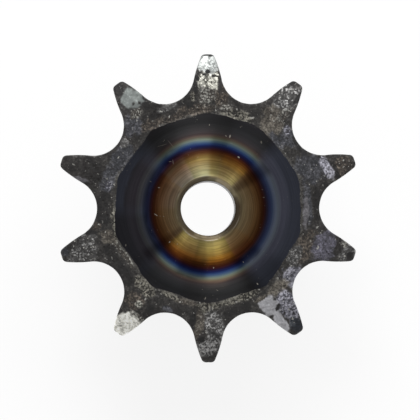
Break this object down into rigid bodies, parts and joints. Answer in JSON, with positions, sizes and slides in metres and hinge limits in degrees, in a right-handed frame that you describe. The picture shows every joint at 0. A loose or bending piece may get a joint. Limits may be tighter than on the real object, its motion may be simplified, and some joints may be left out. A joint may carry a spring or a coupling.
{
  "type": "chain sprocket",
  "caption": "Roller-chain sprocket with pointed curved teeth, a plain pilot bore and a boss on the back, in dark heat-tinted steel.",
  "frame": {"origin": "on the bore's axis, halfway through the width of the teeth", "axes": "+Z along the bore, out of the flat front face and away from the boss; +Y through the middle of a tooth; +X to the right seen from the front"},
  "size_m": [0.0432, 0.0452, 0.025],
  "materials": {
    "steel": "turned face with heat tints in rings round the bore, and mottled grey-black scale on the teeth"
  },
  "bodies": {
    "root": {"sprocket": "steel"}
  },
  "joints": []
}
